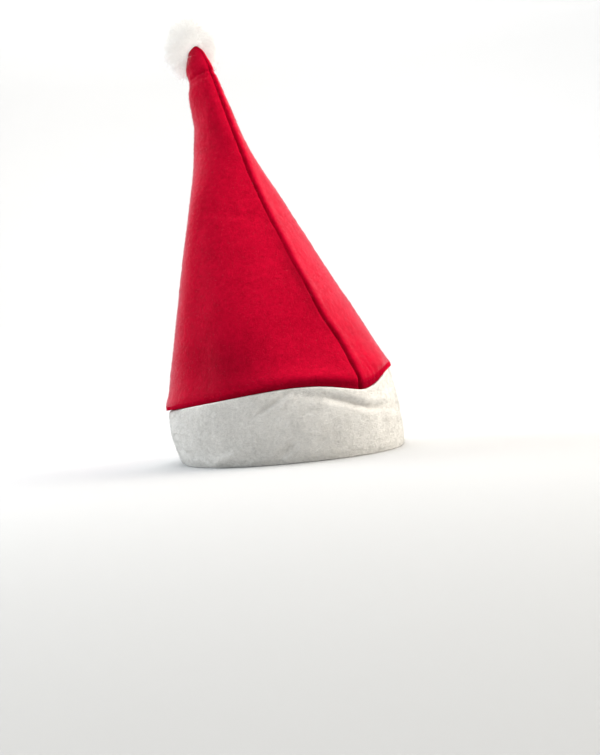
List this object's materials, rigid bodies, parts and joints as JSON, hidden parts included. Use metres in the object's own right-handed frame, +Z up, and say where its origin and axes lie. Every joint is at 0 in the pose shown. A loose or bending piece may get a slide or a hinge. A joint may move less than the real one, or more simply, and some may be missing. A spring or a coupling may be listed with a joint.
{
  "type": "santa hat",
  "caption": "Pointed red felt hat with a folded white band round the rim and a white fur pompom on its bent tip, open below for a head.",
  "frame": {"origin": "middle of the hat's bounds on the surface it stands on", "axes": "+Z up, -Y towards the front seam, +X towards the wearer's left"},
  "size_m": [0.1615, 0.1999, 0.3465],
  "materials": {
    "red_felt": "brushed felt, matt",
    "white_felt": "brushed felt, matt",
    "white_fur": "soft fur"
  },
  "bodies": {
    "root": {"right_panel": "red_felt", "left_panel": "red_felt", "band": "white_felt", "pompom": "white_fur"}
  },
  "joints": []
}
